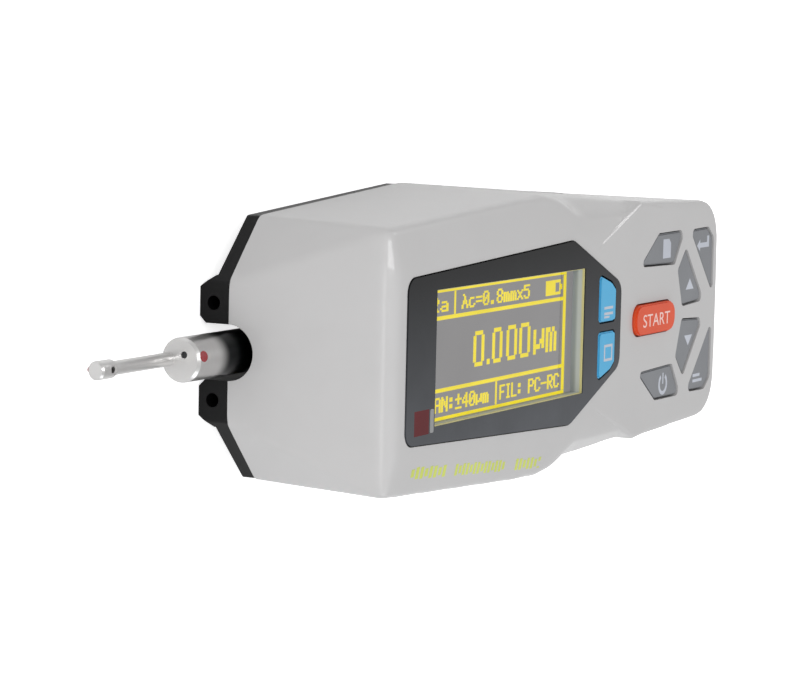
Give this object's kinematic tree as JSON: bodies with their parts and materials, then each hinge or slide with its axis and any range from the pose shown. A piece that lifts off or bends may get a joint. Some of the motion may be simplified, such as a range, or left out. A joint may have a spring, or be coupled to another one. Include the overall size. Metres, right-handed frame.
{
  "type": "surface roughness tester",
  "caption": "Hand-held surface roughness tester: faceted grey housing on a railed black base, recessed screen, push keys and a stylus pickup that traverses into its end.",
  "frame": {"origin": "on the plane of the rail soles, under the middle of the whole length with the pickup out", "axes": "+X from the pickup towards the keypad along the length, +Z out of the screen, +Y to the upper side of the screen picture"},
  "size_m": [0.178, 0.054, 0.0389],
  "materials": {
    "grey_shell": "fine satin grain",
    "black_base": "satin black",
    "bezel_black": "glossy black",
    "window_clear": "clear pane",
    "display_dark": "dark display glass with yellow figures",
    "red_lens": "dark red translucent",
    "board_green": "solder mask",
    "switch_black": "moulded black",
    "battery_wrap": "shrink wrap",
    "socket_steel": "plated shell",
    "screw_steel": "zinc plated",
    "screw_black": "black oxide",
    "frame_alu": "machined",
    "rod_steel": "ground and polished",
    "bronze": "turned",
    "motor_can": "drawn can",
    "carriage_black": "moulded",
    "pickup_steel": "satin turned",
    "ruby": "polished",
    "key_orange": "soft moulded",
    "key_blue": "soft moulded",
    "key_grey": "soft moulded"
  },
  "bodies": {
    "housing": {"upper_housing": "grey_shell", "base_plate": "black_base", "bezel_panel": "bezel_black", "display_window": "window_clear", "display_module": "display_dark", "status_lens": "red_lens", "main_board": "board_green", "key_switches": "switch_black", "battery_pack": "battery_wrap", "data_socket": "socket_steel", "board_screws": "screw_steel", "base_screws": "screw_black", "drive_frame": "frame_alu", "frame_screws": "screw_steel", "guide_rods": "rod_steel", "screw_bushes": "bronze", "drive_motor": "motor_can"},
    "carriage": {"carriage": "carriage_black", "carriage_nut": "bronze", "pickup_socket": "switch_black", "pickup_body": "pickup_steel", "pickup_screw": "screw_black", "pickup_tube": "pickup_steel", "pickup_skid": "ruby", "stylus_pin": "rod_steel"},
    "stylus": {"stylus_arm": "pickup_steel"},
    "lead_screw": {"lead_screw": "rod_steel", "shaft_sleeve": "bronze", "motor_shaft": "rod_steel"},
    "start_key": {"start_key": "key_orange"},
    "blue_key_upper": {"blue_key_upper": "key_blue"},
    "blue_key_lower": {"blue_key_lower": "key_blue"},
    "upper_near_key": {"upper_near_key": "key_grey"},
    "upper_middle_key": {"upper_middle_key": "key_grey"},
    "upper_far_key": {"upper_far_key": "key_grey"},
    "lower_near_key": {"lower_near_key": "key_grey"},
    "lower_middle_key": {"lower_middle_key": "key_grey"},
    "lower_far_key": {"lower_far_key": "key_grey"}
  },
  "joints": [
    {"name": "screw_turn", "type": "hinge", "parent": "housing", "child": "lead_screw", "pos_m": [-0.022, 0, 0.0165], "axis": [1, 0, 0], "range_deg": [0, 9000]},
    {"name": "traverse", "type": "slide", "parent": "housing", "child": "carriage", "axis": [1, 0, 0], "range_m": [0, 0.0175]},
    {"name": "stylus_swing", "type": "hinge", "parent": "carriage", "child": "stylus", "pos_m": [-0.07, 0, 0.0031], "axis": [0, 1, 0], "range_deg": [-0.8, 0.8], "stiffness_Nm_per_rad": 0.002},
    {"name": "start_key_press", "type": "slide", "parent": "housing", "child": "start_key", "axis": [0, 0, -1], "range_m": [0, 0.0008], "stiffness_N_per_m": 1500},
    {"name": "blue_key_upper_press", "type": "slide", "parent": "housing", "child": "blue_key_upper", "axis": [0, 0, -1], "range_m": [0, 0.0008], "stiffness_N_per_m": 1500},
    {"name": "blue_key_lower_press", "type": "slide", "parent": "housing", "child": "blue_key_lower", "axis": [0, 0, -1], "range_m": [0, 0.0008], "stiffness_N_per_m": 1500},
    {"name": "upper_near_key_press", "type": "slide", "parent": "housing", "child": "upper_near_key", "axis": [0, 0, -1], "range_m": [0, 0.0008], "stiffness_N_per_m": 1500},
    {"name": "upper_middle_key_press", "type": "slide", "parent": "housing", "child": "upper_middle_key", "axis": [0, 0, -1], "range_m": [0, 0.0008], "stiffness_N_per_m": 1500},
    {"name": "upper_far_key_press", "type": "slide", "parent": "housing", "child": "upper_far_key", "axis": [0, 0, -1], "range_m": [0, 0.0008], "stiffness_N_per_m": 1500},
    {"name": "lower_near_key_press", "type": "slide", "parent": "housing", "child": "lower_near_key", "axis": [0, 0, -1], "range_m": [0, 0.0008], "stiffness_N_per_m": 1500},
    {"name": "lower_middle_key_press", "type": "slide", "parent": "housing", "child": "lower_middle_key", "axis": [0, 0, -1], "range_m": [0, 0.0008], "stiffness_N_per_m": 1500},
    {"name": "lower_far_key_press", "type": "slide", "parent": "housing", "child": "lower_far_key", "axis": [0, 0, -1], "range_m": [0, 0.0008], "stiffness_N_per_m": 1500}
  ],
  "couplings": [
    {"joint": "screw_turn", "follows": "traverse", "rad_per_m": 8976}
  ]
}
